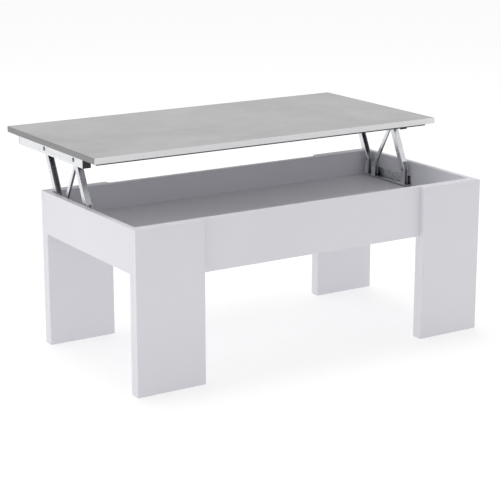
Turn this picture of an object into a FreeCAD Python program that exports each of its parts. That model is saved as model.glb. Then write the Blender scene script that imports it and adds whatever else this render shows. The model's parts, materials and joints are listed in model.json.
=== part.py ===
import FreeCAD, Part
import os
import Sketcher

# Lift-top coffee table, drawn with the top raised: that is the rest pose.
# +X right, +Y to the back, +Z up, millimetres. The origin is on the floor, under
# the middle of the whole table with its top raised.

os.makedirs("parts", exist_ok=True)
doc = FreeCAD.newDocument("LiftTopTable")
V = FreeCAD.Vector

# ---------------------------------------------------------------- driving dimensions

DIMENSIONS = [
    ("width", 1020),            # table, end to end
    ("depth", 500),             # table, front to back
    ("rim_height", 407),        # floor to the top of the base
    ("board", 15),              # melamine-faced board
    ("edge_round", 0.8),        # softened edges of every board
    ("leg_width", 185),
    ("apron_height", 131),
    ("end_height", 110),
    ("floor_top", 340),         # inside of the storage tray
    ("glide_high", 2),
    ("glide_rad", 9),
    ("cleat", 18),              # square batten that carries the tray floor
    ("band", 1),                # edge band of the lid
    ("rest_strip", 7.7),        # strips under the lid that sit on the rim
    ("strip_wide", 10),
    ("rest_gap", 0.3),
    ("arm_length", 136),        # pivot to pivot
    ("closed_angle", 5),        # arm above the horizontal, lid down
    ("swing", 111),             # arm travel
    ("arm_deep", 15),
    ("arm_wide", 16),
    ("arm_inset", 20),          # end of the table to the arm's outer face
    ("sheet_steel", 1.5),
    ("front_pivot", 149.5),     # front edge of the lid to its front pivot
    ("pivot_spacing", 166),
    ("pivot_drop", 15.5),       # underside of the lid to its pivots
    ("pin_rad", 3),
    ("bush_rad", 4.5),
    ("running_gap", 0.06),
    ("rail_start", 99),
    ("rail_length", 367),
    ("rail_wide", 22),
    ("rail_deep", 29),
    ("rail_inset", 17),
    ("cap", 1.5),               # plastic cap on each end of a rail
    ("plate", 2),               # base bracket's flanges
    ("lug", 1.8),               # each bracket lug stands just inside an arm wall
    ("lug_gap", 0.3),
    ("bracket_low", 343),
    ("bracket_high", 25),
    ("stay_reach", 142),        # stay's base pivot to the sleeve's mouth
    ("stay_wide", 7),
    ("stay_deep", 9.4),
    ("stay_wall", 1),
    ("stay_slot", 3.6),
    ("stay_gap", 0.1),          # between the bar and the sleeve, each side
    ("eye_rad", 6.5),
    ("eye_wide", 6),
    ("screw_rad", 2),
    ("screw_head", 3.8),
    ("screw_long", 12),
    ("cam_rad", 7.5),
    ("cam_long", 12),
    ("cam_reach", 24),
    ("dowel_rad", 4),
]

sheet = doc.addObject("Spreadsheet::Sheet", "Dims")
for row, (alias, value) in enumerate(DIMENSIONS, start=1):
    sheet.set(f"A{row}", alias)
    sheet.set(f"B{row}", str(value))
    sheet.setAlias(f"B{row}", alias)
doc.recompute()


def dim(name):
    """The expression that reads one cell of the sheet."""
    return f"Dims.{name}"


# ---------------------------------------------------------------- worked-out places

RAISED_ANGLE = "(180 - Dims.closed_angle - Dims.swing)"
SHIFT = "(Dims.arm_length * (cos(Dims.closed_angle) - cos(Dims.closed_angle + Dims.swing)))"
LIFT = "(Dims.arm_length * (sin(Dims.closed_angle + Dims.swing) - sin(Dims.closed_angle)))"
LID_LOW = f"(Dims.rim_height + Dims.rest_strip + Dims.rest_gap + {LIFT})"
RAISED_RUN = f"(Dims.arm_length * cos{RAISED_ANGLE})"
RAISED_RISE = f"(Dims.arm_length * sin{RAISED_ANGLE})"

LID_PIVOT_Z = f"({LID_LOW} - Dims.pivot_drop)"
FRONT_LID_Y = f"({SHIFT} + Dims.front_pivot)"
REAR_LID_Y = f"({FRONT_LID_Y} + Dims.pivot_spacing)"
BASE_PIVOT_Z = f"({LID_PIVOT_Z} - {RAISED_RISE})"
FRONT_BASE_Y = f"({FRONT_LID_Y} - {RAISED_RUN})"
REAR_BASE_Y = f"({REAR_LID_Y} - {RAISED_RUN})"

# The stay's two pivots are both one arm's length from the front base pivot, so the
# stay always turns half as far as the arms. With the top down the three pivots are in
# line, and the stay lies inside the front arm's channel.
STAY_BASE_Y = f"({FRONT_BASE_Y} + Dims.arm_length * cos(Dims.closed_angle))"
STAY_BASE_Z = f"({BASE_PIVOT_Z} - Dims.arm_length * sin(Dims.closed_angle))"
STAY_ANGLE = f"(90 + ({RAISED_ANGLE} - Dims.closed_angle) / 2)"
STAY_X = "(Dims.arm_inset + Dims.arm_wide / 2)"

ORIGIN_X = "-Dims.width / 2"
ORIGIN_Y = f"-(Dims.depth + {SHIFT}) / 2"

NODES = []


# ---------------------------------------------------------------- helpers

def place(item, x, y, z):
    """Put an object at a place measured from the base's front left corner."""
    item.setExpression("Placement.Base.x", f"{ORIGIN_X} + {x}")
    item.setExpression("Placement.Base.y", f"{ORIGIN_Y} + {y}")
    item.setExpression("Placement.Base.z", z)


def turn(item, axis, angle, expression=None):
    """Rotate an object; the angle can follow the sheet."""
    item.Placement = FreeCAD.Placement(V(0, 0, 0), FreeCAD.Rotation(axis, angle))
    if expression:
        item.setExpression("Placement.Rotation.Angle", expression)


def keep(item, label):
    """Name an object as a node of the table."""
    item.Label = label
    NODES.append(item)
    return item


def new_body(name):
    return doc.addObject("PartDesign::Body", name)


def sketch_on(body, plane, name, lift=None):
    """A sketch on one of the body's own origin planes, lifted along its normal."""
    sketch = body.newObject("Sketcher::SketchObject", name)
    support = [item for item in body.Origin.OriginFeatures if item.Role == plane][0]
    sketch.AttachmentSupport = (support, [""])
    sketch.MapMode = "FlatFace"
    if lift:
        sketch.setExpression("AttachmentOffset.Base.z", lift)
    return sketch


def hold(sketch, kind, geometry, point, expression):
    """Dimension from the sketch's origin to a point; a leading minus is the other way."""
    if expression == "0":
        axis = -2 if kind == "DistanceX" else -1
        sketch.addConstraint(Sketcher.Constraint("PointOnObject", geometry, point, axis))
        return
    if expression.startswith("-"):
        item = Sketcher.Constraint(kind, geometry, point, -1, 1, 1.0)
        expression = expression[1:]
    else:
        item = Sketcher.Constraint(kind, -1, 1, geometry, point, 1.0)
    index = sketch.addConstraint(item)
    sketch.setExpression(f"Constraints[{index}]", expression)


def rectangle(sketch, left, low, wide, high):
    """Four lines: place of the low left corner, then the two sizes."""
    x = -1 if left.startswith("-") else 1
    y = -1 if low.startswith("-") else 1
    corners = [V(x, y), V(x + 3, y), V(x + 3, y + 2), V(x, y + 2)]
    first = sketch.GeometryCount
    for i in range(4):
        sketch.addGeometry(Part.LineSegment(corners[i], corners[(i + 1) % 4]), False)
    for i in range(4):
        link = Sketcher.Constraint("Coincident", first + i, 2, first + (i + 1) % 4, 1)
        sketch.addConstraint(link)
    for i in (0, 2):
        sketch.addConstraint(Sketcher.Constraint("Horizontal", first + i))
        sketch.addConstraint(Sketcher.Constraint("Vertical", first + i + 1))
    hold(sketch, "DistanceX", first, 1, left)
    hold(sketch, "DistanceY", first, 1, low)
    index = sketch.addConstraint(Sketcher.Constraint("DistanceX", first, 1, first, 2, 3.0))
    sketch.setExpression(f"Constraints[{index}]", wide)
    index = sketch.addConstraint(Sketcher.Constraint("DistanceY", first + 1, 1, first + 1, 2, 2.0))
    sketch.setExpression(f"Constraints[{index}]", high)


def circles(sketch, centres, radius):
    """Equal circles at the given places."""
    for spot, (x, y) in enumerate(centres):
        first = sketch.GeometryCount
        start = V(0 if x == "0" else 10 + 9 * spot, 0 if y == "0" else 10 + 5 * spot)
        sketch.addGeometry(Part.Circle(start, V(0, 0, 1), 2), False)
        hold(sketch, "DistanceX", first, 3, x)
        hold(sketch, "DistanceY", first, 3, y)
        index = sketch.addConstraint(Sketcher.Constraint("Radius", first, 2.0))
        sketch.setExpression(f"Constraints[{index}]", radius)


def slot(sketch, length, radius):
    """A round-ended bar from the origin along the sketch's x axis."""
    first_length = 100
    start_arc = Part.ArcOfCircle(Part.Circle(V(0, 0, 0), V(0, 0, 1), 7), 1.5708, 4.7124)
    end_arc = Part.ArcOfCircle(Part.Circle(V(first_length, 0, 0), V(0, 0, 1), 7), -1.5708, 1.5708)
    sketch.addGeometry(start_arc, False)
    sketch.addGeometry(Part.LineSegment(V(0, -7), V(first_length, -7)), False)
    sketch.addGeometry(end_arc, False)
    sketch.addGeometry(Part.LineSegment(V(first_length, 7), V(0, 7)), False)
    for i in range(4):
        sketch.addConstraint(Sketcher.Constraint("Tangent", i, 2, (i + 1) % 4, 1))
    sketch.addConstraint(Sketcher.Constraint("Coincident", 0, 3, -1, 1))
    sketch.addConstraint(Sketcher.Constraint("PointOnObject", 2, 3, -1))
    sketch.addConstraint(Sketcher.Constraint("Equal", 0, 2))
    index = sketch.addConstraint(Sketcher.Constraint("DistanceX", -1, 1, 2, 3, float(first_length)))
    sketch.setExpression(f"Constraints[{index}]", length)
    index = sketch.addConstraint(Sketcher.Constraint("Radius", 0, 7.0))
    sketch.setExpression(f"Constraints[{index}]", radius)


def pad(body, sketch, length):
    feature = body.newObject("PartDesign::Pad", f"{sketch.Name}Pad")
    feature.Profile = sketch
    feature.setExpression("Length", length)
    sketch.Visibility = False
    body.Tip = feature
    return feature


def pocket(body, sketch, depth=None, other_way=False):
    """Cut a sketch away: to a depth, or through everything both ways."""
    feature = body.newObject("PartDesign::Pocket", f"{sketch.Name}Pocket")
    feature.Profile = sketch
    if depth:
        feature.setExpression("Length", depth)
        feature.Reversed = other_way
    else:
        feature.Type = "ThroughAll"
        feature.Midplane = True
    sketch.Visibility = False
    body.Tip = feature
    return feature


def soften(body, feature, radius):
    """Round every edge of a plain board."""
    fillet = body.newObject("PartDesign::Fillet", f"{body.Name}Round")
    fillet.Base = (feature, ["Face1"])
    fillet.UseAllEdges = True
    fillet.setExpression("Radius", radius)
    body.Tip = fillet
    return fillet


def slab(body, name, x, y, z, wide, deep, thick):
    """Add a plate to a sheet-steel body: y and z place it, x lifts it off the YZ plane."""
    sketch = sketch_on(body, "YZ_Plane", name, None if x == "0" else x)
    rectangle(sketch, y, z, deep, thick)
    return pad(body, sketch, wide)


def board(label, x, y, z, wide, deep, high, rounded=True):
    """A board with its low front left corner at x, y, z."""
    body = new_body(label)
    sketch = sketch_on(body, "XY_Plane", f"{label}_outline")
    rectangle(sketch, "0", "0", wide, deep)
    solid = pad(body, sketch, high)
    if rounded:
        soften(body, solid, dim("edge_round"))
    place(body, x, y, z)
    return keep(body, label)


def turned(name, along, centre, stages):
    """A turned piece along an axis: each stage is (start, length, radius)."""
    stages_made = []
    for number, (start, length, radius) in enumerate(stages):
        stage = doc.addObject("Part::Cylinder", f"{name}_stage{number}")
        stage.setExpression("Height", length)
        stage.setExpression("Radius", radius)
        spot = list(centre)
        if along == "X":
            turn(stage, V(0, 1, 0), 90)
            spot[0] = f"{centre[0]} + {start}"
        elif along == "Y":
            turn(stage, V(1, 0, 0), -90)
            spot[1] = f"{centre[1]} + {start}"
        else:
            spot[2] = f"{centre[2]} + {start}"
        place(stage, *spot)
        stages_made.append(stage)
    if len(stages_made) == 1:
        return stages_made[0]
    whole = doc.addObject("Part::MultiFuse", name)
    whole.Shapes = stages_made
    return whole


def ring(name, centre, start, length, outer, inner):
    """A bush, spacer or gland along X: a cylinder with a hole."""
    solid = turned(f"{name}_solid", "X", centre, [(start, length, outer)])
    hole = turned(f"{name}_hole", "X", centre, [(f"{start} - 1", f"{length} + 2", inner)])
    cut = doc.addObject("Part::Cut", name)
    cut.Base = solid
    cut.Tool = hole
    return cut


def mirrored(source, name):
    """The right-hand copy of a left-hand piece."""
    copy = doc.addObject("Part::Mirroring", name)
    copy.Source = source
    copy.Base = V(0, 0, 0)
    copy.Normal = V(1, 0, 0)
    return copy


def both_sides(items, label):
    """One node that holds left-hand pieces and their right-hand copies."""
    group = doc.addObject("Part::Compound", label)
    group.Links = items + [mirrored(item, f"{item.Name}_right") for item in items]
    return keep(group, label)


def opposite_end(source, label):
    """A node on the right-hand end, mirrored from the one on the left."""
    return keep(mirrored(source, label), label)


# ---------------------------------------------------------------- legs

LEG_RIGHT_X = "Dims.width - Dims.leg_width"
APRON_LOW = "(Dims.rim_height - Dims.apron_height)"
END_LOW = "(Dims.rim_height - Dims.end_height)"
BACK_APRON_Y = "(Dims.depth - 2 * Dims.board)"
LEG_SCREWS = ["Dims.leg_width * 0.22", "Dims.leg_width * 0.5", "Dims.leg_width * 0.78"]
LEG_SCREW_Z = f"({APRON_LOW} + Dims.board)"


def leg(corner, x, face_y, inner_y, at_front):
    """A full-height panel with a doubler behind it, up to the apron's lower edge."""
    panel = board(f"{corner}_leg_panel", x, face_y, dim("glide_high"),
                  dim("leg_width"), dim("board"), "Dims.rim_height - Dims.glide_high")
    lift = "-Dims.board" if at_front else None
    sketch = sketch_on(panel, "XZ_Plane", f"{corner}_screw_holes", lift)
    height = f"{LEG_SCREW_Z} - Dims.glide_high"
    circles(sketch, [(spot, height) for spot in LEG_SCREWS], "Dims.screw_rad + Dims.running_gap")
    pocket(panel, sketch, dim("screw_long"), other_way=at_front)
    board(f"{corner}_leg_doubler", x, inner_y, dim("glide_high"),
          dim("leg_width"), dim("board"), f"{APRON_LOW} - Dims.glide_high")


leg("front_left", "0", "0", "Dims.board", True)
leg("front_right", LEG_RIGHT_X, "0", "Dims.board", True)
leg("back_left", "0", "Dims.depth - Dims.board", BACK_APRON_Y, False)
leg("back_right", LEG_RIGHT_X, "Dims.depth - Dims.board", BACK_APRON_Y, False)


# ---------------------------------------------------------------- aprons, ends and tray

CAM_Z = f"({END_LOW} + 14)"
DOWELS_Z = [f"({END_LOW} + 50)", f"({END_LOW} + 90)"]
PEG_DEPTH = "Dims.board * 2 / 3"
CLEAT_LOW = "(Dims.floor_top - Dims.board - Dims.cleat)"
CLEAT_SCREWS = [f"Dims.width * {share}" for share in (0.08, 0.36, 0.64, 0.92)]


def apron(label, y, at_front):
    """A full-length board between the legs' outer panels and the tray."""
    panel = board(label, "0", y, APRON_LOW, dim("width"), dim("board"), dim("apron_height"))
    shank = "Dims.screw_rad + Dims.running_gap"
    spots = [(spot, f"{LEG_SCREW_Z} - {APRON_LOW}") for spot in LEG_SCREWS]
    spots += [(f"{LEG_RIGHT_X} + {spot}", f"{LEG_SCREW_Z} - {APRON_LOW}") for spot in LEG_SCREWS]
    pocket(panel, with_circles(panel, f"{label}_leg_screw_holes", None, spots, shank))
    inner = "-Dims.board" if at_front else None
    cleat_z = f"{CLEAT_LOW} + Dims.cleat / 2 - {APRON_LOW}"
    spots = [(spot, cleat_z) for spot in CLEAT_SCREWS]
    sketch = with_circles(panel, f"{label}_cleat_screw_holes", inner, spots, shank)
    pocket(panel, sketch, PEG_DEPTH, other_way=at_front)
    ends = ["Dims.board / 2", "Dims.width - Dims.board / 2"]
    spots = [(x, f"{z} - {APRON_LOW}") for x in ends for z in DOWELS_Z]
    sketch = with_circles(panel, f"{label}_dowel_holes", inner, spots, dim("dowel_rad"))
    pocket(panel, sketch, PEG_DEPTH, other_way=at_front)
    spots = [(x, f"{CAM_Z} - {APRON_LOW}") for x in ends]
    sketch = with_circles(panel, f"{label}_cam_bolt_holes", inner, spots, shank)
    pocket(panel, sketch, PEG_DEPTH, other_way=at_front)


def with_circles(body, name, lift, spots, radius, plane="XZ_Plane"):
    """A sketch of holes on one of the body's planes."""
    sketch = sketch_on(body, plane, name, lift)
    circles(sketch, spots, radius)
    return sketch


apron("front_apron", "Dims.board", True)
apron("back_apron", BACK_APRON_Y, False)

END_LONG = "(Dims.depth - 4 * Dims.board)"
BRACKET_Y = f"({FRONT_BASE_Y} - 17)"
BRACKET_LONG = f"({BACK_APRON_Y} - 4 - {BRACKET_Y})"
BRACKET_SCREW_Z = "(Dims.bracket_low + Dims.bracket_high / 2)"
BRACKET_SCREWS = [f"({BRACKET_Y} + {BRACKET_LONG} * {share})" for share in (0.2, 0.4, 0.6, 0.8)]

left_end = board("left_end_panel", "0", "2 * Dims.board", END_LOW,
                 dim("board"), END_LONG, dim("end_height"))
screw_spots = [(f"{y} - 2 * Dims.board", f"{BRACKET_SCREW_Z} - {END_LOW}") for y in BRACKET_SCREWS]
pocket(left_end, with_circles(left_end, "left_end_screw_holes", dim("board"), screw_spots,
                              "Dims.screw_rad + Dims.running_gap", "YZ_Plane"), dim("screw_long"))
cam_spots = [(y, f"{CAM_Z} - {END_LOW}") for y in ("Dims.cam_reach", f"{END_LONG} - Dims.cam_reach")]
pocket(left_end, with_circles(left_end, "left_end_cam_holes", dim("board"), cam_spots,
                              dim("cam_rad"), "YZ_Plane"), dim("cam_long"))
for number, z in enumerate(DOWELS_Z + [CAM_Z]):
    radius = dim("dowel_rad") if number < 2 else "Dims.screw_rad + Dims.running_gap"
    depth = "2 * Dims.cam_reach - Dims.cam_rad - 20" if number < 2 else dim("cam_reach")
    for near in (True, False):
        side = "near" if near else "far"
        sketch = with_circles(left_end, f"left_end_peg_{number}_{side}",
                              None if near else f"-{END_LONG}",
                              [("Dims.board / 2", f"{z} - {END_LOW}")], radius)
        pocket(left_end, sketch, depth, other_way=not near)
opposite_end(left_end, "right_end_panel")

board("tray_floor", "Dims.board", "2 * Dims.board", "Dims.floor_top - Dims.board",
      "Dims.width - 2 * Dims.board", END_LONG, dim("board"), rounded=False)


def cleat(label, y):
    """A batten under the tray floor, bored for its screws."""
    batten = board(label, "Dims.board + 5", y, CLEAT_LOW,
                   "Dims.width - 2 * Dims.board - 10", dim("cleat"), dim("cleat"))
    spots = [(f"{x} - Dims.board - 5", "Dims.cleat / 2") for x in CLEAT_SCREWS]
    pocket(batten, with_circles(batten, f"{label}_screw_holes", None, spots,
                                "Dims.screw_rad + Dims.running_gap"))


cleat("front_floor_cleat", "2 * Dims.board")
cleat("back_floor_cleat", f"{BACK_APRON_Y} - Dims.cleat")


# ---------------------------------------------------------------- fixings of the base

def along_y(name, x, y, z, inward, stages):
    """A turned fixing along Y; inward is the way it points, +1 or -1."""
    flipped = []
    for start, length, radius in stages:
        flipped.append((start if inward > 0 else f"(-({start}) - ({length}))", length, radius))
    return turned(name, "Y", (x, y, z), flipped)


dowels = []
cam_bolts = []
cam_locks = []
leg_screws = []
cleat_screws = []
glides = []
for end, inner_face, outward in (("front", "2 * Dims.board", -1), ("back", BACK_APRON_Y, 1)):
    for number, z in enumerate(DOWELS_Z):
        peg = [(f"-({PEG_DEPTH}) + 0.5", f"{PEG_DEPTH} + 19.5", "Dims.dowel_rad - Dims.running_gap")]
        dowels.append(along_y(f"{end}_dowel_{number}", "Dims.board / 2", inner_face, z, -outward, peg))
    stem = [(f"-({PEG_DEPTH}) + 0.5", f"{PEG_DEPTH} + Dims.cam_reach - Dims.cam_rad - 1", dim("screw_rad"))]
    cam_bolts.append(along_y(f"{end}_cam_bolt", "Dims.board / 2", inner_face, CAM_Z, -outward, stem))
    cam_y = f"{inner_face} - {outward} * Dims.cam_reach"
    cam_locks.append(turned(f"{end}_cam_lock", "X", ("Dims.board - Dims.cam_long", cam_y, CAM_Z),
                            [("0", dim("cam_long"), "Dims.cam_rad - Dims.running_gap")]))
    for number, x in enumerate(LEG_SCREWS):
        head = ("-1.8", "1.8", dim("screw_head"))
        shank = ("-0.5", "Dims.board + Dims.screw_long - 1", dim("screw_rad"))
        leg_screws.append(along_y(f"{end}_leg_screw_{number}", x, inner_face, LEG_SCREW_Z,
                                  outward, [head, shank]))
    for number, x in enumerate(CLEAT_SCREWS[:2]):
        tray_side = f"{inner_face} - {outward} * Dims.cleat"
        head = ("-1.8", "1.8", dim("screw_head"))
        shank = ("-0.5", f"Dims.cleat + {PEG_DEPTH} - 1", dim("screw_rad"))
        cleat_screws.append(along_y(f"{end}_cleat_screw_{number}", x, tray_side,
                                    f"({CLEAT_LOW} + Dims.cleat / 2)", outward, [head, shank]))
    for number, x in enumerate(("Dims.leg_width * 0.15", "Dims.leg_width * 0.85")):
        foot_y = f"{inner_face} + {outward} * Dims.board"
        glides.append(turned(f"{end}_glide_{number}", "Z", (x, foot_y, "0"),
                             [("0", dim("glide_high"), dim("glide_rad"))]))
both_sides(dowels, "dowels")
both_sides(cam_bolts, "cam_bolts")
both_sides(cam_locks, "cam_locks")
both_sides(leg_screws, "leg_screws")
both_sides(cleat_screws, "cleat_screws")
both_sides(glides, "leg_glides")


# ---------------------------------------------------------------- lid

board("lid_board", "Dims.band", f"{SHIFT} + Dims.band", LID_LOW, "Dims.width - 2 * Dims.band",
      "Dims.depth - 2 * Dims.band", dim("board"), rounded=False)
lid_board = NODES[-1]
RAIL_SCREWS = [f"(Dims.rail_start + Dims.rail_length * {share})" for share in (0.06, 0.35, 0.7, 0.94)]
RAIL_MIDDLE = "(Dims.rail_inset + Dims.rail_wide / 2)"
lid_holes = []
for x in (f"{RAIL_MIDDLE} - Dims.band", f"Dims.width - {RAIL_MIDDLE} - Dims.band"):
    lid_holes += [(x, f"{y} - Dims.band") for y in RAIL_SCREWS]
pocket(lid_board, with_circles(lid_board, "lid_screw_holes", None, lid_holes,
                               "Dims.screw_rad + Dims.running_gap", "XY_Plane"),
       dim("screw_long"), other_way=True)

board("lid_front_edge_band", "0", SHIFT, LID_LOW, dim("width"), dim("band"), dim("board"), False)
board("lid_back_edge_band", "0", f"{SHIFT} + Dims.depth - Dims.band", LID_LOW,
      dim("width"), dim("band"), dim("board"), False)
left_band = board("lid_left_edge_band", "0", f"{SHIFT} + Dims.band", LID_LOW,
                  dim("band"), "Dims.depth - 2 * Dims.band", dim("board"), False)
opposite_end(left_band, "lid_right_edge_band")

STRIP_LOW = f"({LID_LOW} - Dims.rest_strip)"
board("front_rest_strip", "Dims.board", f"{SHIFT} + 2 * Dims.board - Dims.strip_wide", STRIP_LOW,
      "Dims.width - 2 * Dims.board", dim("strip_wide"), dim("rest_strip"))
board("back_rest_strip", "Dims.board", f"{SHIFT} + Dims.depth - 2 * Dims.board", STRIP_LOW,
      "Dims.width - 2 * Dims.board", dim("strip_wide"), dim("rest_strip"))


# ---------------------------------------------------------------- lid rails

rail = new_body("left_lid_rail")
WEB_LOW = "Dims.rail_deep - Dims.sheet_steel"
slab(rail, "rail_web", "0", "0", WEB_LOW, dim("rail_wide"), dim("rail_length"), dim("sheet_steel"))
slab(rail, "rail_outer_wall", "0", "0", "0", dim("sheet_steel"), dim("rail_length"), dim("rail_deep"))
slab(rail, "rail_inner_wall", "Dims.rail_wide - Dims.sheet_steel", "0", "0",
     dim("sheet_steel"), dim("rail_length"), dim("rail_deep"))
PIVOT_IN_RAIL = "Dims.rail_deep - Dims.pivot_drop"
pivot_spots = [("Dims.front_pivot - Dims.rail_start", PIVOT_IN_RAIL),
               ("Dims.front_pivot + Dims.pivot_spacing - Dims.rail_start", PIVOT_IN_RAIL)]
pocket(rail, with_circles(rail, "rail_pivot_holes", "Dims.rail_wide / 2", pivot_spots,
                          "Dims.pin_rad + Dims.running_gap", "YZ_Plane"))
screw_holes = [("Dims.rail_wide / 2", f"{y} - Dims.rail_start") for y in RAIL_SCREWS]
pocket(rail, with_circles(rail, "rail_screw_holes", "Dims.rail_deep / 2", screw_holes,
                          "Dims.screw_rad + Dims.running_gap", "XY_Plane"))
place(rail, dim("rail_inset"), f"{SHIFT} + Dims.rail_start", f"{LID_LOW} - Dims.rail_deep")
keep(rail, "left_lid_rail")
opposite_end(rail, "right_lid_rail")

rail_screws = []
for number, y in enumerate(RAIL_SCREWS):
    head = ("-1.5 - Dims.sheet_steel", "1.5", dim("screw_head"))
    shank = ("-2 - Dims.sheet_steel", "Dims.screw_long + Dims.sheet_steel + 1.5", dim("screw_rad"))
    rail_screws.append(turned(f"rail_screw_{number}", "Z", (RAIL_MIDDLE, f"{SHIFT} + {y}", LID_LOW),
                              [head, shank]))
both_sides(rail_screws, "rail_screws")

rail_caps = []
for end, face_y, plug_y in (("front", "Dims.rail_start - Dims.cap", "(Dims.cap - 0.5)"),
                            ("back", "Dims.rail_start + Dims.rail_length", "-3.5")):
    cap = new_body(f"{end}_rail_cap")
    slab(cap, f"{end}_cap_face", "0", "0", "0", dim("rail_wide"), dim("cap"), dim("rail_deep"))
    slab(cap, f"{end}_cap_plug", "(Dims.sheet_steel + 0.1)", plug_y, "0.3",
         "Dims.rail_wide - 2 * Dims.sheet_steel - 0.2", "4", "Dims.rail_deep - Dims.sheet_steel - 0.4")
    place(cap, dim("rail_inset"), f"{SHIFT} + {face_y}", f"{LID_LOW} - Dims.rail_deep")
    rail_caps.append(cap)
both_sides(rail_caps, "rail_end_caps")


# ---------------------------------------------------------------- lifting arms

ARM_OUT = "(Dims.arm_inset + Dims.arm_wide)"


def arm(label, base_y, web_side):
    """A channel-section arm. The web is on the front (+1) or the back (-1) when raised."""
    body = new_body(label)
    half = "Dims.arm_deep / 2"
    web_low = f"{half} - Dims.sheet_steel" if web_side > 0 else f"-{half}"
    slab(body, f"{label}_web", "0", "Dims.arm_deep * 1.2", web_low,
         dim("arm_wide"), "Dims.arm_length - Dims.arm_deep * 1.8", dim("sheet_steel"))
    for name, lift in (("outer", None), ("inner", "Dims.arm_wide - Dims.sheet_steel")):
        sketch = sketch_on(body, "YZ_Plane", f"{label}_{name}_wall", lift)
        slot(sketch, dim("arm_length"), half)
        pad(body, sketch, dim("sheet_steel"))
    holes = with_circles(body, f"{label}_holes", "Dims.arm_wide / 2",
                         [("0", "0"), ("Dims.arm_length", "0")], dim("bush_rad"), "YZ_Plane")
    pocket(body, holes)
    turn(body, V(1, 0, 0), 64, RAISED_ANGLE)
    place(body, dim("arm_inset"), base_y, BASE_PIVOT_Z)
    return keep(body, label)


def arm_bushes(label, base_y, lid_y):
    """Four flanged plastic bushes, one in each hole of the arm's walls."""
    outer = "Dims.bush_rad - Dims.running_gap"
    inner = "Dims.pin_rad + Dims.running_gap"
    parts = []
    for end, y, z in (("base", base_y, BASE_PIVOT_Z), ("lid", lid_y, LID_PIVOT_Z)):
        for side, x, flange in (("out", dim("arm_inset"), "-0.4"),
                                ("in", f"{ARM_OUT} - Dims.sheet_steel", dim("sheet_steel"))):
            name = f"{label}_{end}_{side}"
            barrel = ring(f"{name}_barrel", (x, y, z), "0", dim("sheet_steel"), outer, inner)
            collar = ring(f"{name}_collar", (x, y, z), flange, "0.4", "Dims.bush_rad + 1", inner)
            bush = doc.addObject("Part::MultiFuse", name)
            bush.Shapes = [barrel, collar]
            parts.append(bush)
    group = doc.addObject("Part::Compound", label)
    group.Links = parts
    return keep(group, label)


for which, base_y, lid_y, web in (("front", FRONT_BASE_Y, FRONT_LID_Y, 1),
                                  ("rear", REAR_BASE_Y, REAR_LID_Y, -1)):
    left_arm = arm(f"{which}_left_arm", base_y, web)
    opposite_end(left_arm, f"{which}_right_arm")
    left_bushes = arm_bushes(f"{which}_left_arm_bushes", base_y, lid_y)
    opposite_end(left_bushes, f"{which}_right_arm_bushes")


# ---------------------------------------------------------------- base brackets

bracket = new_body("left_base_bracket")
WALL_IN = "(Dims.arm_inset + Dims.sheet_steel)"
WALL_OUT = f"({ARM_OUT} - Dims.sheet_steel)"
OUTER_LUG = f"({WALL_IN} + Dims.lug_gap)"
INNER_LUG = f"({WALL_OUT} - Dims.lug_gap - Dims.lug)"
slab(bracket, "bracket_wall", "0", "0", "0", dim("plate"), BRACKET_LONG, dim("bracket_high"))
slab(bracket, "bracket_shelf", "0", "0", "0", f"({INNER_LUG} + Dims.lug - Dims.board)",
     BRACKET_LONG, dim("plate"))
lugs = []
for name, y, z in (("front", FRONT_BASE_Y, BASE_PIVOT_Z), ("rear", REAR_BASE_Y, BASE_PIVOT_Z),
                   ("stay", STAY_BASE_Y, STAY_BASE_Z)):
    for side, x in (("outer", OUTER_LUG), ("inner", INNER_LUG)):
        lugs.append((f"{name}_{side}", f"({x} - Dims.board)", f"({y} - {BRACKET_Y})",
                     f"({z} - Dims.bracket_low)"))
for name, x, y, z in lugs:
    slab(bracket, f"bracket_{name}_lug", x, f"{y} - 8", "0", dim("lug"), "16", z)
    pad(bracket, with_circles(bracket, f"bracket_{name}_lug_top", x, [(y, z)], "8", "YZ_Plane"),
        dim("lug"))
for name, x, y, z in lugs:
    hole = with_circles(bracket, f"bracket_{name}_lug_hole", x, [(y, z)],
                        "Dims.pin_rad + Dims.running_gap", "YZ_Plane")
    pocket(bracket, hole, dim("lug"), other_way=True)
wall_holes = [(f"{y} - {BRACKET_Y}", "Dims.bracket_high / 2") for y in BRACKET_SCREWS]
pocket(bracket, with_circles(bracket, "bracket_screw_holes", None, wall_holes,
                             "Dims.screw_rad + Dims.running_gap", "YZ_Plane"),
       dim("plate"), other_way=True)
place(bracket, dim("board"), BRACKET_Y, dim("bracket_low"))
keep(bracket, "left_base_bracket")
opposite_end(bracket, "right_base_bracket")

bracket_screws = []
for number, y in enumerate(BRACKET_SCREWS):
    head = (dim("plate"), "2", dim("screw_head"))
    shank = ("0.5 - Dims.screw_long", "Dims.screw_long + Dims.plate", dim("screw_rad"))
    bracket_screws.append(turned(f"bracket_screw_{number}", "X", (dim("board"), y, BRACKET_SCREW_Z),
                                 [head, shank]))
both_sides(bracket_screws, "bracket_screws")


# ---------------------------------------------------------------- pivots

base_rivets = []
lid_bolts = []
lid_nuts = []
lid_spacers = []
RAIL_IN = "(Dims.rail_inset + Dims.rail_wide)"
EYE_OUT = f"({STAY_X} - Dims.eye_wide / 2)"
EYE_IN = f"({STAY_X} + Dims.eye_wide / 2)"
HOLE = "Dims.pin_rad + Dims.running_gap"
SPACER = "Dims.pin_rad + 1.6"


def spacer(name, spot, start, end):
    """A washer that fills the gap from one face to the next, with 0.1 mm to spare."""
    return ring(name, spot, f"{start} + 0.1", f"{end} - {start} - 0.2", SPACER, HOLE)


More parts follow.
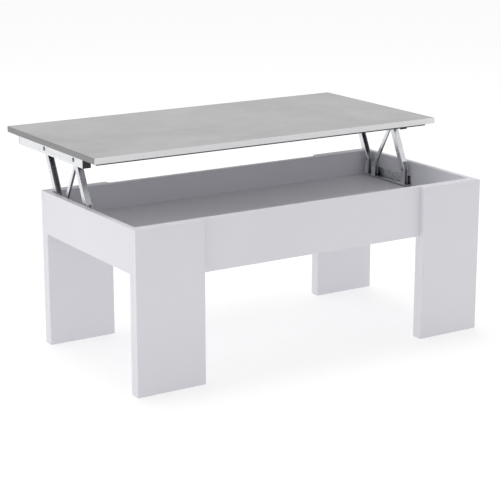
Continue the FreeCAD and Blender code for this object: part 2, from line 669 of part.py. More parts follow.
for which, base_y, lid_y in (("front", FRONT_BASE_Y, FRONT_LID_Y), ("rear", REAR_BASE_Y, REAR_LID_Y)):
    at_base = ("0", base_y, BASE_PIVOT_Z)
    at_lid = ("0", lid_y, LID_PIVOT_Z)
    head = ("Dims.arm_inset - 1.3", "0.8", "Dims.pin_rad + 1.8")
    shank = ("Dims.arm_inset - 0.8", f"{OUTER_LUG} + Dims.lug - Dims.arm_inset + 0.7", dim("pin_rad"))
    base_rivets.append(turned(f"{which}_outer_rivet", "X", at_base, [head, shank]))
    head = (f"{ARM_OUT} + 0.5", "0.8", "Dims.pin_rad + 1.8")
    shank = (f"{INNER_LUG} + 0.1", f"{ARM_OUT} - {INNER_LUG} + 0.7", dim("pin_rad"))
    base_rivets.append(turned(f"{which}_inner_rivet", "X", at_base, [head, shank]))

    head = ("Dims.rail_inset - 1.6", "1.6", "Dims.pin_rad + 2.3")
    shank = ("Dims.rail_inset - 0.5", f"{RAIL_IN} - Dims.rail_inset + 5.1", dim("pin_rad"))
    lid_bolts.append(turned(f"{which}_lid_bolt", "X", at_lid, [head, shank]))
    nut = doc.addObject("Part::Prism", f"{which}_lid_nut_hex")
    nut.Polygon = 6
    nut.setExpression("Circumradius", "Dims.pin_rad + 2.8")
    nut.Height = 4
    turn(nut, V(0, 1, 0), 90)
    place(nut, f"{RAIL_IN} + 0.1", lid_y, LID_PIVOT_Z)
    nut_hole = turned(f"{which}_lid_nut_hole", "X", at_lid, [(f"{RAIL_IN} - 0.9", "6", HOLE)])
    nut_cut = doc.addObject("Part::Cut", f"{which}_lid_nut")
    nut_cut.Base = nut
    nut_cut.Tool = nut_hole
    lid_nuts.append(nut_cut)
    lid_spacers.append(spacer(f"{which}_outer_spacer", at_lid, "(Dims.rail_inset + Dims.sheet_steel)",
                              "(Dims.arm_inset - 0.4)"))
    lid_spacers.append(spacer(f"{which}_inner_spacer", at_lid, f"({ARM_OUT} + 0.4)",
                              f"({RAIL_IN} - Dims.sheet_steel)"))
at_lid = ("0", FRONT_LID_Y, LID_PIVOT_Z)
lid_spacers.append(spacer("stay_outer_spacer", at_lid, WALL_IN, EYE_OUT))
lid_spacers.append(spacer("stay_inner_spacer", at_lid, EYE_IN, WALL_OUT))
both_sides(base_rivets, "base_pivot_rivets")
both_sides(lid_bolts, "lid_pivot_bolts")
both_sides(lid_nuts, "lid_pivot_nuts")
both_sides(lid_spacers, "lid_pivot_spacers")

head = (f"{OUTER_LUG} - 1.3", "1.2", "Dims.pin_rad + 1.6")
tail = (f"{INNER_LUG} + Dims.lug + 0.1", "1.2", "Dims.pin_rad + 1.6")
shank = (f"{OUTER_LUG} - 0.5", f"{INNER_LUG} + Dims.lug - {OUTER_LUG} + 1", dim("pin_rad"))
stay_pin = turned("stay_base_pin", "X", ("0", STAY_BASE_Y, STAY_BASE_Z), [head, tail, shank])
both_sides([stay_pin], "stay_base_pins")


# ---------------------------------------------------------------- telescopic stays

BAR_WIDE = "(Dims.stay_wide - 2 * Dims.stay_wall - 2 * Dims.stay_gap)"
BAR_DEEP = "(Dims.stay_deep - 2 * Dims.stay_wall - 2 * Dims.stay_gap)"


def stay_piece(label, pivot, flipped, build):
    """A piece of the stay, drawn along +Y from its own pivot, then turned into place."""
    body = new_body(label)
    build(body, label)
    angle = f"{STAY_ANGLE} - 180" if flipped else STAY_ANGLE
    turn(body, V(1, 0, 0), -62 if flipped else 118, angle)
    place(body, STAY_X, pivot[0], pivot[1])
    keep(body, label)
    opposite_end(body, label.replace("left", "right"))


def block(body, name, start, length, wide, deep):
    """A bar along +Y, centred on the stay's line."""
    return slab(body, name, f"-{wide} / 2", start, f"-{deep} / 2", wide, length, deep)


def hollow(body, name, start, length, wide, deep):
    """Cut a rectangular channel along the stay's line."""
    sketch = sketch_on(body, "YZ_Plane", name, f"{wide} / 2")
    rectangle(sketch, start, f"-{deep} / 2", length, deep)
    pocket(body, sketch, wide)


def eye(body, label, hole_rad):
    """A round eye about the pivot; the hole is cut last."""
    disc = with_circles(body, f"{label}_disc", "-Dims.eye_wide / 2", [("0", "0")],
                        dim("eye_rad"), "YZ_Plane")
    pad(body, disc, dim("eye_wide"))
    hole = with_circles(body, f"{label}_hole", None, [("0", "0")], hole_rad, "YZ_Plane")
    pocket(body, hole)


def sleeve(body, label):
    """Lipped channel, open at both ends; the slot between the lips looks to the front."""
    block(body, f"{label}_outside", "8", "Dims.stay_reach - 8", dim("stay_wide"), dim("stay_deep"))
    hollow(body, f"{label}_inside", "7", "Dims.stay_reach",
           "(Dims.stay_wide - 2 * Dims.stay_wall)", "(Dims.stay_deep - 2 * Dims.stay_wall)")
    opening = sketch_on(body, "YZ_Plane", f"{label}_slot", "Dims.stay_slot / 2")
    rectangle(opening, "7", "(Dims.stay_deep / 2 - Dims.stay_wall - 0.5)", dim("stay_reach"),
              "(Dims.stay_wall + 1)")
    pocket(body, opening, dim("stay_slot"))


def base_eye(body, label):
    """The eye that plugs the sleeve's lower end."""
    block(body, f"{label}_plug", "4", "9", BAR_WIDE, BAR_DEEP)
    eye(body, label, "Dims.pin_rad + Dims.running_gap")


def collar(body, label):
    """Plastic cap over the sleeve's mouth, with a lip that guides the bar."""
    block(body, f"{label}_outside", "Dims.stay_reach - 6", "8",
          "(Dims.stay_wide + 0.8)", "(Dims.stay_deep + 1.6)")
    hollow(body, f"{label}_seat", "Dims.stay_reach - 8", "8.05",
           "(Dims.stay_wide + 0.1)", "(Dims.stay_deep + 0.1)")
    hollow(body, f"{label}_lip", "Dims.stay_reach - 1", "5",
           f"({BAR_WIDE} + 2 * Dims.stay_gap)", f"({BAR_DEEP} + 2 * Dims.stay_gap)")


def bar(body, label):
    """Flat bar with its eye in one piece."""
    block(body, f"{label}_shank", "4", "Dims.stay_reach - 6", BAR_WIDE, BAR_DEEP)
    eye(body, label, dim("bush_rad"))


def bar_bush(body, label):
    """Plastic bush pressed in the bar's eye."""
    disc = with_circles(body, f"{label}_disc", "-Dims.eye_wide / 2", [("0", "0")],
                        "Dims.bush_rad - Dims.running_gap", "YZ_Plane")
    pad(body, disc, dim("eye_wide"))
    hole = with_circles(body, f"{label}_hole", None, [("0", "0")],
                        "Dims.pin_rad + Dims.running_gap", "YZ_Plane")
    pocket(body, hole)


BASE_END = (STAY_BASE_Y, STAY_BASE_Z)
LID_END = (FRONT_LID_Y, LID_PIVOT_Z)
stay_piece("left_stay_sleeve", BASE_END, False, sleeve)
stay_piece("left_stay_collar", BASE_END, False, collar)
stay_piece("left_stay_base_eye", BASE_END, False, base_eye)
stay_piece("left_stay_bar", LID_END, True, bar)
stay_piece("left_stay_bar_bush", LID_END, True, bar_bush)


# ---------------------------------------------------------------- check and export

doc.recompute()
for item in doc.Objects:
    if "Invalid" in item.State or "Error" in item.State:
        raise RuntimeError(f"{item.Label} did not recompute: {item.State}")
for node in NODES:
    if node.Shape.isNull() or not node.Shape.isValid():
        raise RuntimeError(f"{node.Label} has no valid shape")
    node.Shape.exportStep(f"parts/{node.Label}.step")
print(len(NODES), "nodes")
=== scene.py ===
# %% [markdown]
# # A lift-top coffee table
#
# The table has a white melamine base with four flat legs and a shallow tray, and a
# concrete-grey top that rises on four steel arms and two telescopic stays. The shapes and the
# motion come ready-made from the frame. This lesson is about the looks: light, finishes,
# softened edges, and the small turned pieces that a plain design leaves too simple.
#
# We load the frame first. Nothing that we add may grow it.

# %% Load the frame
import bmesh
import bpy
import json
import math

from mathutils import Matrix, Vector


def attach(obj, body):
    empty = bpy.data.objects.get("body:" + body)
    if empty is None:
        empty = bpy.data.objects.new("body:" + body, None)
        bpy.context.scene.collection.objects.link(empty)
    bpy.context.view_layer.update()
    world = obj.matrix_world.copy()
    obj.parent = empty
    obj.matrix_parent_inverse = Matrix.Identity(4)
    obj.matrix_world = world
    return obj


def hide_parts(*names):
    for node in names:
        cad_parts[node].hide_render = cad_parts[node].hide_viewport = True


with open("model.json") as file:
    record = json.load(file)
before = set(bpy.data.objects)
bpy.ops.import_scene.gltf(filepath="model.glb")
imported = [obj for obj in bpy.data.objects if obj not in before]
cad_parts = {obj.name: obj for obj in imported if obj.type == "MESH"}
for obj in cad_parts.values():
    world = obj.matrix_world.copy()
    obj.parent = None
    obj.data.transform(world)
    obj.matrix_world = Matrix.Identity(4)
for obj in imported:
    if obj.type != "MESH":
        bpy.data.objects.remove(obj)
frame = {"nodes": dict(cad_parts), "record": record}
nodes = frame["nodes"]
slot_of = {part["node"]: part["material_slot"] for part in frame["record"]["subparts"]}
body_of = {node: body
           for body, parts in frame["record"]["behaviour"]["bodies"].items()
           for node in parts}
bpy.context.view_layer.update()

# %% [markdown]
# ## The camera
#
# A product picture of furniture is taken from a few metres away with a long lens, so that
# near and far legs keep almost the same size. The camera stands to the left of the table
# and a little above it. It is placed by naming the point that it looks at, the direction
# and the distance, which is easier to adjust than a bare location and rotation.

# %% Place the camera
LOOK_AT = Vector((-0.015, -0.055, 0.2256))
TURNED = math.radians(32.34)
ABOVE = math.radians(14.92)
AWAY = 4.164
LENS_MM = 114.65
SENSOR_MM = 36

camera_data = bpy.data.cameras.new("camera")
camera_data.lens = LENS_MM
camera_data.sensor_width = SENSOR_MM
camera = bpy.data.objects.new("camera", camera_data)
bpy.context.scene.collection.objects.link(camera)
level = math.cos(ABOVE)
forward = Vector((math.sin(TURNED) * level, math.cos(TURNED) * level, -math.sin(ABOVE)))
camera.location = LOOK_AT - forward * AWAY
camera.rotation_mode = "QUATERNION"
camera.rotation_quaternion = forward.to_track_quat("-Z", "Y")
bpy.context.scene.camera = camera
print("camera at", [round(x, 2) for x in camera.location])

# %% [markdown]
# ## The floor
#
# The table stands on a seamless pale sweep that is lit until it is almost white. One large
# plane does that here. Lighting a floor that brightly with lamps would also flood the
# table, so the plane glows a little by itself, as a light table does. The glow comes from
# below, and lifts the shaded sides of the legs without reaching into the tray. It reaches
# so far that its edge stays out of view when the camera stands ten degrees or more above
# level. Lower than that, a faint horizon shows.

# %% Build the floor
FLOOR_HALF = 150.0
FLOOR_GLOW = 0.46
FLOOR_GREY = 0.72


def pale_floor():
    """A seamless pale plane under the glides."""
    mesh = bpy.data.meshes.new("studio_floor")
    corners = [(-1, -1), (1, -1), (1, 1), (-1, 1)]
    places = [(x * FLOOR_HALF, y * FLOOR_HALF, 0) for x, y in corners]
    mesh.from_pydata(places, [], [(0, 1, 2, 3)])
    plane = bpy.data.objects.new("studio_floor", mesh)
    bpy.context.scene.collection.objects.link(plane)
    paint = bpy.data.materials.new("studio_floor_paint")
    paint.use_nodes = True
    shader = paint.node_tree.nodes["Principled BSDF"]
    shader.inputs["Base Color"].default_value = (FLOOR_GREY, FLOOR_GREY, FLOOR_GREY, 1)
    shader.inputs["Roughness"].default_value = 0.9
    shader.inputs["Specular IOR Level"].default_value = 0.0
    shader.inputs["Emission Color"].default_value = (1, 1, 1, 1)
    shader.inputs["Emission Strength"].default_value = FLOOR_GLOW
    mesh.materials.append(paint)
    return plane


pale_floor()
print("floor", 2 * FLOOR_HALF, "m across, glow", FLOOR_GLOW)

# %% [markdown]
# ## The light
#
# A white box reads as a box only if its three faces have three tones. The faces that look
# left are the lightest here, then the top, then the long front. So the white surroundings
# aren't even: a gradient makes them bright on the left and overhead, and dimmer in front.
# The world's generated coordinate is the direction that a ray leaves in, so its x and y
# say how far left and how far in front the light comes from. Two soft panels add the gentle
# direction that an even dome lacks. A third, small one stands in front on the right, where
# the folded steel on that side mirrors it.

# %% Surround the table with a graded white
FROM_LEFT = 1.10
FROM_RIGHT = 0.80
IN_FRONT = 0.48
BEHIND = 0.98

world = bpy.data.worlds.new("white_studio")
world.use_nodes = True
sky = world.node_tree
direction = sky.nodes.new("ShaderNodeTexCoord").outputs["Generated"]
apart = sky.nodes.new("ShaderNodeSeparateXYZ")
sky.links.new(direction, apart.inputs[0])
sides = []
for axis, low, high in ((0, FROM_LEFT, FROM_RIGHT), (1, IN_FRONT, BEHIND)):
    ramp = sky.nodes.new("ShaderNodeMapRange")
    ramp.inputs["From Min"].default_value = -1.0
    ramp.inputs["To Min"].default_value = low
    ramp.inputs["To Max"].default_value = high
    sky.links.new(apart.outputs[axis], ramp.inputs["Value"])
    sides.append(ramp.outputs["Result"])
product = sky.nodes.new("ShaderNodeMath")
product.operation = "MULTIPLY"
sky.links.new(sides[0], product.inputs[0])
sky.links.new(sides[1], product.inputs[1])
sky.links.new(product.outputs[0], sky.nodes["Background"].inputs["Strength"])
sky.nodes["Background"].inputs["Color"].default_value = (1, 1, 1, 1)
bpy.context.scene.world = world
bpy.context.scene.view_settings.view_transform = "Standard"
print("the world glows from", round(FROM_RIGHT * IN_FRONT, 2), "to", round(FROM_LEFT * BEHIND, 2))

# %% Hang the soft panels
def soft_panel(name, location, size, watts, target=(0, 0, 0.3)):
    """A square area light turned towards the table."""
    data = bpy.data.lights.new(name, "AREA")
    data.size = size
    data.energy = watts
    lamp = bpy.data.objects.new(name, data)
    bpy.context.scene.collection.objects.link(lamp)
    lamp.location = location
    lamp.rotation_mode = "QUATERNION"
    lamp.rotation_quaternion = (Vector(target) - Vector(location)).to_track_quat("-Z", "Y")
    return lamp


soft_panel("left_panel", (-4.2, 0.6, 1.6), 2.4, 10)
soft_panel("top_panel", (0.2, 0.9, 3.8), 2.2, 34)
soft_panel("right_panel", (2.1, -1.9, 1.9), 0.9, 1.6, target=(0.48, 0.0, 0.45))

# %% [markdown]
# ## A short way to write finishes
#
# Every finish here is a Principled shader whose colour, roughness and bump are fed by
# noise. Written out node by node, fifteen finishes would hide what differs between them.
# So a finish is built with a few small helpers: one starts it, one adds a noise, one turns
# a value into a range, one mixes two colours and one adds bump. The coordinates are the
# object's own, in metres, so that a grain size can be given as it would be measured.

# %% Helpers for finishes
class Finish:
    """A material with its node tree, its shader and its coordinates within reach."""

    def __init__(self, name, colour, roughness, metallic=0.0):
        self.material = bpy.data.materials.new(name)
        self.material.use_nodes = True
        self.tree = self.material.node_tree
        self.shader = self.tree.nodes["Principled BSDF"]
        self.shader.inputs["Base Color"].default_value = (*colour, 1)
        self.shader.inputs["Roughness"].default_value = roughness
        self.shader.inputs["Metallic"].default_value = metallic
        self.place = self.tree.nodes.new("ShaderNodeTexCoord").outputs["Object"]
        self.height = None

    def link(self, source, target):
        self.tree.links.new(source, target)

    def stretched(self, x, y, z):
        """Coordinates scaled along each axis, for grain and brushing."""
        mapping = self.tree.nodes.new("ShaderNodeMapping")
        mapping.inputs["Scale"].default_value = (x, y, z)
        self.link(self.place, mapping.inputs["Vector"])
        return mapping.outputs["Vector"]

    def noise(self, per_metre, detail=3.0, roughness=0.5, place=None, distortion=0.0):
        """Cloudy noise; per_metre is roughly how many lumps fit in a metre."""
        node = self.tree.nodes.new("ShaderNodeTexNoise")
        node.inputs["Scale"].default_value = per_metre
        node.inputs["Detail"].default_value = detail
        node.inputs["Roughness"].default_value = roughness
        node.inputs["Distortion"].default_value = distortion
        self.link(place or self.place, node.inputs["Vector"])
        return node.outputs["Fac"]

    def cells(self, per_metre, place=None):
        """Distance to the nearest of many scattered points."""
        node = self.tree.nodes.new("ShaderNodeTexVoronoi")
        node.inputs["Scale"].default_value = per_metre
        self.link(place or self.place, node.inputs["Vector"])
        return node.outputs["Distance"]

    def within(self, reach, deep, open_):
        """How open a spot is, from 0 inside a fold to 1 outside; reach is in metres."""
        node = self.tree.nodes.new("ShaderNodeAmbientOcclusion")
        node.inputs["Distance"].default_value = reach
        node.only_local = True
        return self.ranged(node.outputs["AO"], deep, open_)

    def ranged(self, value, low, high, start=0.0, end=1.0):
        """Map a value's stretch from low to high onto start to end."""
        node = self.tree.nodes.new("ShaderNodeMapRange")
        node.inputs["From Min"].default_value = low
        node.inputs["From Max"].default_value = high
        node.inputs["To Min"].default_value = start
        node.inputs["To Max"].default_value = end
        self.link(value, node.inputs["Value"])
        return node.outputs["Result"]

    def mixed(self, amount, first, second):
        """Blend two colours; each is a socket or three numbers."""
        node = self.tree.nodes.new("ShaderNodeMix")
        node.data_type = "RGBA"
        self.link(amount, node.inputs["Factor"])
        for colour, socket in ((first, node.inputs[6]), (second, node.inputs[7])):
            if isinstance(colour, tuple):
                socket.default_value = (*colour, 1)
            else:
                self.link(colour, socket)
        return node.outputs[2]

    def colour(self, socket):
        self.link(socket, self.shader.inputs["Base Color"])

    def rough(self, socket):
        self.link(socket, self.shader.inputs["Roughness"])

    def bump(self, height, depth, strength=1.0):
        """Raise the surface by a height; later bumps lie on earlier ones."""
        node = self.tree.nodes.new("ShaderNodeBump")
        node.inputs["Distance"].default_value = depth
        node.inputs["Strength"].default_value = strength
        self.link(height, node.inputs["Height"])
        if self.height:
            self.link(self.height, node.inputs["Normal"])
        self.height = node.outputs["Normal"]
        self.link(self.height, self.shader.inputs["Normal"])


finishes = {}


def save(slot, finish):
    """Keep a finish under the name of the slot that wears it."""
    finishes[slot] = finish.material
    print("finish", slot, "with", len(finish.tree.nodes), "nodes")


# %% [markdown]
# ## White melamine
#
# The base is particle board faced with white melamine. It isn't pure white and it isn't
# smooth: the press leaves a fine pearl texture of about a millimetre, which breaks up the
# reflections, and the gloss wanders a little over a board. Both are noise. The colour only
# drifts by a hundredth, because a printed white that varies more would look dirty.

# %% White melamine
white = Finish("white_melamine", (0.776, 0.775, 0.82), 0.38)
drift = white.ranged(white.noise(3.0, 4.0), 0.35, 0.65)
white.colour(white.mixed(drift, (0.765, 0.764, 0.812), (0.787, 0.785, 0.829)))
white.rough(white.ranged(white.noise(60.0, 4.0, 0.6), 0.3, 0.7, 0.33, 0.46))
white.bump(white.noise(850.0, 2.0), 0.00006, 0.5)
white.bump(white.noise(14.0, 2.0), 0.00025, 0.15)
white.shader.inputs["Specular IOR Level"].default_value = 0.42
save("white_melamine", white)

# %% [markdown]
# ## Concrete decor
#
# The lid wears a printed picture of cast concrete. A good print has three scales at once:
# clouds as wide as a hand where the cement was wetter or drier, faint trowel sweeps that
# run along the board, and a fine sandy grain with a few darker pores. We stack the three,
# large to small, and let each one move the colour by less than the one before.

# %% Concrete decor
concrete = Finish("concrete_decor", (0.47, 0.47, 0.47), 0.55)
clouds = concrete.noise(5.5, 7.0, 0.62, distortion=0.5)
patches = concrete.noise(17.0, 5.0, 0.6, distortion=0.3)
sweeps = concrete.noise(7.0, 6.0, 0.6, place=concrete.stretched(0.6, 3.4, 1.0), distortion=0.8)
sand = concrete.noise(420.0, 3.0, 0.7)
cloudy = concrete.ranged(clouds, 0.34, 0.68)
base = concrete.mixed(cloudy, (0.425, 0.426, 0.428), (0.505, 0.506, 0.508))
patchy = concrete.ranged(patches, 0.52, 0.78, 0.0, 0.50)
light = concrete.mixed(patchy, base, (0.555, 0.556, 0.558))
trowelled = concrete.ranged(sweeps, 0.5, 0.74, 0.0, 0.32)
swept = concrete.mixed(trowelled, light, (0.395, 0.396, 0.398))
sandy = concrete.ranged(sand, 0.42, 0.75, 0.0, 0.22)
grained = concrete.mixed(sandy, swept, (0.33, 0.33, 0.33))
pores = concrete.ranged(concrete.cells(95.0), 0.05, 0.16, 0.55, 0.0)
rare = concrete.ranged(concrete.noise(26.0, 2.0), 0.52, 0.6)
both = concrete.tree.nodes.new("ShaderNodeMath")
both.operation = "MULTIPLY"
concrete.link(pores, both.inputs[0])
concrete.link(rare, both.inputs[1])
concrete.colour(concrete.mixed(both.outputs[0], grained, (0.25, 0.25, 0.25)))
concrete.rough(concrete.ranged(patches, 0.3, 0.7, 0.48, 0.66))
concrete.bump(sand, 0.00010, 0.5)
concrete.bump(sweeps, 0.00018, 0.3)
save("concrete_decor", concrete)

# %% [markdown]
# ## Edge bands
#
# The lid's edges are closed with glued-on plastic band. The long edges are pale and the
# short ones a darker grey, closer to the decor. Band is a calender-rolled plastic, so it
# has faint lengthwise lines and less grain than the board.

# %% Edge bands
def edge_band(name, low, high, along):
    """Band with a faint lengthwise grain; along is the scale on each axis."""
    band = Finish(name, high, 0.42)
    lines = band.noise(60.0, 4.0, 0.6, place=band.stretched(*along))
    band.colour(band.mixed(band.ranged(lines, 0.35, 0.68), low, high))
    band.rough(band.ranged(lines, 0.3, 0.7, 0.38, 0.5))
    band.bump(band.noise(700.0, 2.0), 0.00004, 0.4)
    return band


long_band = edge_band("edge_band_long", (0.90, 0.90, 0.905), (0.95, 0.95, 0.955), (0.05, 1.0, 9.0))
short_band = edge_band("edge_band_short", (0.20, 0.20, 0.20), (0.27, 0.27, 0.27), (1.0, 0.05, 9.0))
save("edge_band_grey", long_band)

# %% [markdown]
# ## Metals of the mechanism
#
# Channels and arms are folded from pre-galvanised strip with a thin bright coat. Its sheen
# is satin and slightly uneven. Inside a fold the colour is darkened as painted shade: an
# occlusion node says how deep inside a spot lies, and mixes the dark tone in. Pins, bolts
# and nuts are zinc-plated and turned, so they are smoother and darker.
# The bars of the stays are drawn through a die, which leaves fine lines along them, and
# then oiled dark. The bolts' flanges are painted nearly black as painted shade round each head.

# %% Metals
steel = Finish("mechanism_steel", (0.78, 0.79, 0.81), 0.27, 0.9)
spangle = steel.noise(90.0, 3.0, 0.5)
coat = steel.mixed(steel.ranged(spangle, 0.35, 0.68), (0.76, 0.77, 0.79), (0.82, 0.83, 0.85))
# The occlusion mix darkens the coat inside folds and channels: painted shade.
steel.colour(steel.mixed(steel.within(0.018, 0.30, 0.75), (0.17, 0.17, 0.19), coat))
steel.rough(steel.ranged(steel.noise(45.0, 3.0), 0.3, 0.7, 0.25, 0.33))
steel.bump(steel.noise(700.0, 2.0), 0.00002, 0.04)
save("mechanism_steel", steel)

pivot = Finish("pivot_steel", (0.50, 0.51, 0.53), 0.28, 1.0)
rings = pivot.noise(500.0, 3.0, 0.6, place=pivot.stretched(4.0, 1.0, 1.0))
pivot.colour(pivot.mixed(pivot.ranged(rings, 0.35, 0.65), (0.40, 0.41, 0.43), (0.58, 0.59, 0.61)))
pivot.rough(pivot.ranged(rings, 0.3, 0.7, 0.22, 0.38))
pivot.bump(rings, 0.00002, 0.4)
save("pivot_steel", pivot)

zinc = Finish("zinc_fixings", (0.62, 0.62, 0.63), 0.3, 1.0)
bloom = zinc.noise(300.0, 4.0, 0.6)
zinc.colour(zinc.mixed(zinc.ranged(bloom, 0.35, 0.65), (0.50, 0.51, 0.53), (0.68, 0.68, 0.66)))
zinc.rough(zinc.ranged(bloom, 0.3, 0.7, 0.24, 0.42))
save("zinc_fixings", zinc)

drawn = Finish("stay_bar_steel", (0.22, 0.22, 0.23), 0.34, 0.8)
die_lines = drawn.noise(900.0, 2.0, 0.5, place=drawn.stretched(1.0, 0.12, 0.12))
drawn.colour(drawn.mixed(drawn.ranged(die_lines, 0.3, 0.7), (0.17, 0.17, 0.18), (0.27, 0.27, 0.28)))
drawn.rough(drawn.ranged(die_lines, 0.3, 0.7, 0.28, 0.42))
drawn.bump(die_lines, 0.00002, 0.4)
save("stay_bar_steel", drawn)

# Nearly black steel for the bolts' flanges and socket walls: painted shade round and inside each
# head.
head_shade = Finish("painted_head_shade_steel", (0.07, 0.07, 0.075), 0.38, 0.6)
oil = head_shade.noise(260.0, 4.0, 0.6)
oily = head_shade.ranged(oil, 0.35, 0.65)
head_shade.colour(head_shade.mixed(oily, (0.05, 0.05, 0.055), (0.11, 0.11, 0.12)))
head_shade.rough(head_shade.ranged(oil, 0.3, 0.7, 0.3, 0.48))
head_shade.bump(oil, 0.00002, 0.4)

# %% [markdown]
# ## Plastics and woods
#
# The rest strips are near-black, painted shade for the gap under the lid, so that the closed
# lid seems to float above the base. They, the glides, the bushes and the collars are moulded
# plastics: matte, with the fine spark-eroded texture of the mould. The battens under the tray
# are planed softwood and the dowels beech, so their colour follows a grain that is long in one
# direction.

# %% Plastics and woods
def moulded(name, low, high, roughness, texture):
    """Moulded plastic: a little colour drift and a fine mould texture."""
    plastic = Finish(name, high, roughness)
    haze = plastic.noise(35.0, 4.0, 0.6)
    plastic.colour(plastic.mixed(plastic.ranged(haze, 0.35, 0.65), low, high))
    plastic.rough(plastic.ranged(haze, 0.3, 0.7, roughness - 0.06, roughness + 0.08))
    plastic.bump(plastic.noise(texture, 2.0), 0.00005, 0.5)
    save(name, plastic)


def planed(name, early, late, rings_per_metre, along):
    """Wood whose growth rings run along one axis."""
    wood = Finish(name, early, 0.6)
    figure = wood.noise(rings_per_metre, 5.0, 0.62, place=wood.stretched(*along), distortion=1.2)
    pale = wood.mixed(wood.ranged(figure, 0.38, 0.62), early, late)
    fibre = wood.noise(700.0, 3.0, 0.6, place=wood.stretched(*along))
    wood.colour(wood.mixed(wood.ranged(fibre, 0.4, 0.75, 0.0, 0.35), pale, late))
    wood.rough(wood.ranged(fibre, 0.3, 0.7, 0.52, 0.7))
    wood.bump(fibre, 0.0001, 0.5)
    save(name, wood)


# The near-black of the rest strips is painted shade for the gap under the lid.
moulded("dark_strip", (0.028, 0.028, 0.031), (0.050, 0.050, 0.054), 0.55, 600.0)
moulded("glide_plastic", (0.62, 0.62, 0.60), (0.72, 0.72, 0.71), 0.5, 500.0)
moulded("bush_plastic", (0.045, 0.045, 0.048), (0.075, 0.075, 0.08), 0.5, 700.0)
moulded("black_plastic", (0.018, 0.018, 0.019), (0.03, 0.03, 0.032), 0.42, 700.0)
planed("batten_wood", (0.60, 0.42, 0.23), (0.40, 0.24, 0.11), 90.0, (0.06, 1.0, 1.0))
planed("beech", (0.56, 0.38, 0.22), (0.42, 0.26, 0.14), 160.0, (1.0, 0.1, 1.0))

# %% [markdown]
# ## Dress the nodes
#
# The record names a slot for each node. Giving every node the finish of its slot is one
# loop. The short edge bands are the one exception.

# %% Give every node its finish
SHORT_BANDS = ("lid_left_edge_band", "lid_right_edge_band")


def wear(piece, material):
    """Put one material on all of a piece."""
    piece.data.materials.clear()
    piece.data.materials.append(material)


for name, node in nodes.items():
    wear(node, short_band.material if name in SHORT_BANDS else finishes[slot_of[name]])
print("dressed", len(nodes), "nodes")

# %% [markdown]
# ## Soften the cut edges
#
# A folded or sawn edge is never a perfect corner, and the thin bright line along it is what
# makes metal and edge band look real. A Bevel modifier adds that line and leaves the mesh
# itself alone. The frame's meshes come with their corners split, so a Weld modifier joins
# them first. The Bevel's angle limit then finds the true edges, and its hardened normals
# keep the flats flat.

# %% Bevel the sheet steel and the lid
JOIN_WITHIN = 0.000005
TRUE_EDGE = math.radians(40)


def soften(node, width):
    """Round off the sharp edges of a frame node by modifiers alone."""
    weld = node.modifiers.new("join_corners", "WELD")
    weld.merge_threshold = JOIN_WITHIN
    bevel = node.modifiers.new("soft_edges", "BEVEL")
    bevel.width = width
    bevel.segments = 2
    bevel.limit_method = "ANGLE"
    bevel.angle_limit = TRUE_EDGE
    bevel.harden_normals = True


SOFT_EDGES = {"mechanism_steel": 0.00035, "edge_band_grey": 0.00035, "dark_strip": 0.0006,
              "concrete_decor": 0.0002, "stay_bar_steel": 0.0003}
softened = [name for name in nodes if slot_of[name] in SOFT_EDGES]
for name in softened:
    soften(nodes[name], SOFT_EDGES[slot_of[name]])
print("softened", len(softened), "nodes")

# %% [markdown]
# ## Find each fixing in the frame
#
# One node can hold many equal fixings: all the rail's screws, or all four nuts. To put a
# detailed copy on each, we need to know where every one stands and which way it points.
# Walking over joined vertices splits a node into its solids. Each solid lies along a known
# axis, and its head is at the end where it is thicker.

# %% Split a node into its solids
AXES = {"x": Vector((1, 0, 0)), "y": Vector((0, 1, 0)), "z": Vector((0, 0, 1))}


def solids(name):
    """The vertex places of each separate solid of a node."""
    mesh = bmesh.new()
    mesh.from_mesh(nodes[name].data)
    bmesh.ops.remove_doubles(mesh, verts=mesh.verts, dist=JOIN_WITHIN)
    waiting = set(mesh.verts)
    found = []
    while waiting:
        group = [waiting.pop()]
        for vertex in group:
            for edge in vertex.link_edges:
                other = edge.other_vert(vertex)
                if other in waiting:
                    waiting.remove(other)
                    group.append(other)
        found.append([vertex.co.copy() for vertex in group])
    mesh.free()
    return found


def stands(name, axis, face=None):
    """Head's centre, direction into the head, and length of each solid along an axis.

    The head is the thicker end, or the end on the side that face names (+1 or -1).
    """
    along = AXES[axis]
    result = []
    for points in solids(name):
        low = Vector([min(p[i] for p in points) for i in range(3)])
        high = Vector([max(p[i] for p in points) for i in range(3)])
        middle = (low + high) / 2
        reach = (high - low).dot(along)
        side = face
        if side is None:
            wide = {end: max((p - middle - along * (p - middle).dot(along)).length for p in points
                             if (p - middle).dot(along) * end > 0.49 * reach) for end in (-1, 1)}
            side = 1 if wide[1] >= wide[-1] else -1
        result.append((middle + along * side * reach / 2, -along * side, reach))
    return result


print("rail screws found:", len(stands("rail_screws", "z")))

# %% [markdown]
# ## Turn a profile
#
# Screws, rivets, bolts and glides are all turned: one outline swept round an axis. A
# modifier could sweep a curve, but then a cross or a hexagon couldn't be part of it. So
# each ring of the sweep is given as a depth and a radius, and a ring may also be shaped: a
# cross for a driver's recess, or a hexagon for a nut. The rings share one number of points,
# forty-eight, which both four and six divide.

# %% Helpers for turned pieces
AROUND = 48
SMOOTH_BELOW = math.radians(35)


def round_ring(radius):
    return [radius] * AROUND


def cross_ring(radius):
    """A four-armed recess: three points wide at each arm, narrow between the arms."""
    quarter = AROUND // 4
    return [radius if min(i % quarter, quarter - i % quarter) <= 1 else radius * 0.36
            for i in range(AROUND)]


def hex_ring(radius):
    """A hexagon whose corners lie at the radius."""
    sixth = 2 * math.pi / 6
    angles = [2 * math.pi * i / AROUND for i in range(AROUND)]
    return [radius * math.cos(sixth / 2) / math.cos(a % sixth - sixth / 2) for a in angles]


